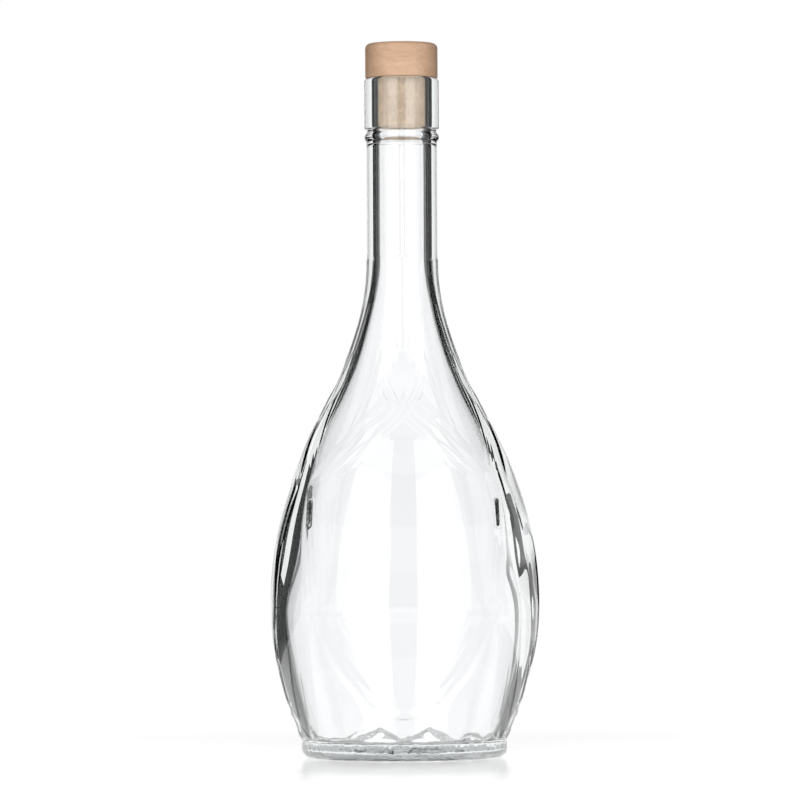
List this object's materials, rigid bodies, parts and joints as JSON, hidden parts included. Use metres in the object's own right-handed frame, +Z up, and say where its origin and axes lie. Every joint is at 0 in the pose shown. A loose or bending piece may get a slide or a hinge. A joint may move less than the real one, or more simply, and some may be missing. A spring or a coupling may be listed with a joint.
{
  "type": "genie bottle",
  "caption": "Clear glass bottle with a long neck, a drop-shaped body with interlaced pointed relief, and a pull-out stopper with a wooden head.",
  "frame": {"origin": "middle of the face that the bottle stands on", "axes": "+Z up along the bottle's axis, -Y towards the front of the picture, +X to its right"},
  "size_m": [0.1044, 0.1044, 0.2748],
  "materials": {
    "flint_glass": "polished clear",
    "beech": "fine sanded, matt sealed",
    "synthetic_cork": "matt",
    "glue": "matt"
  },
  "bodies": {
    "bottle": {"bottle": "flint_glass"},
    "stopper": {"stopper_head": "beech", "stopper_shank": "synthetic_cork", "stopper_glue": "glue"}
  },
  "joints": [
    {"name": "stopper_pull", "type": "slide", "parent": "bottle", "child": "stopper", "axis": [0, 0, 1], "range_m": [0, 0.04]}
  ]
}
